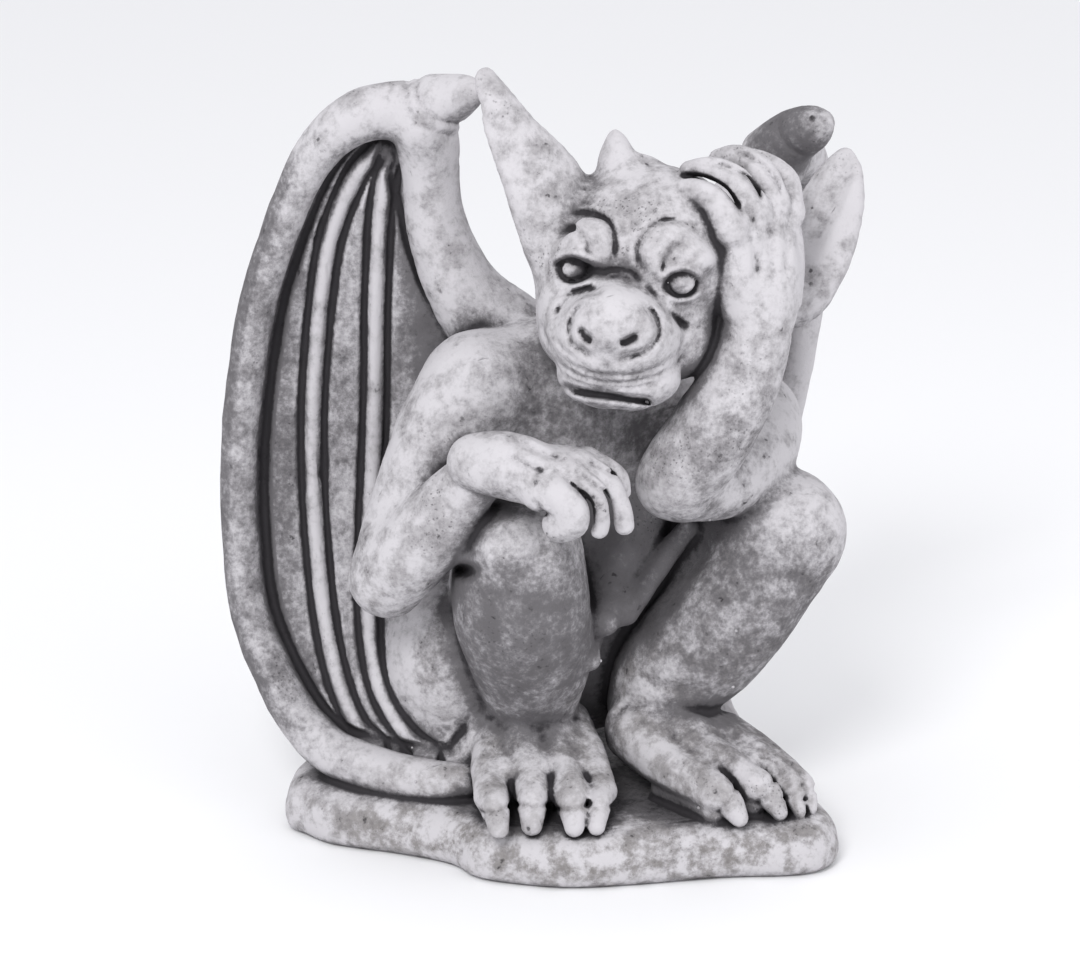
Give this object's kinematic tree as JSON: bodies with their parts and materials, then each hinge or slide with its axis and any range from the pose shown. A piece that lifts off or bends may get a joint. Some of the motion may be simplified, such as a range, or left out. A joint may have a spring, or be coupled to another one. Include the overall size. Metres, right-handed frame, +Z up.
{
  "type": "cast stone gargoyle",
  "caption": "Crouching winged gargoyle in antiqued cast stone, one hand on its knee and the other holding its head, cast in one with a low slab",
  "frame": {"origin": "on the flat underside of the slab, near the middle of its outline, on the ground plane", "axes": "+Z up; the figure faces -Y; its right wing is towards -X and its left wing towards +X"},
  "size_m": [0.3258, 0.2124, 0.3788],
  "materials": {
    "cast_stone": "matt off-white cast stone, brushed light on the raised parts, dark grey antiquing left in the folds, fine pits and small casting beads"
  },
  "bodies": {
    "root": {"gargoyle": "cast_stone"}
  },
  "joints": []
}
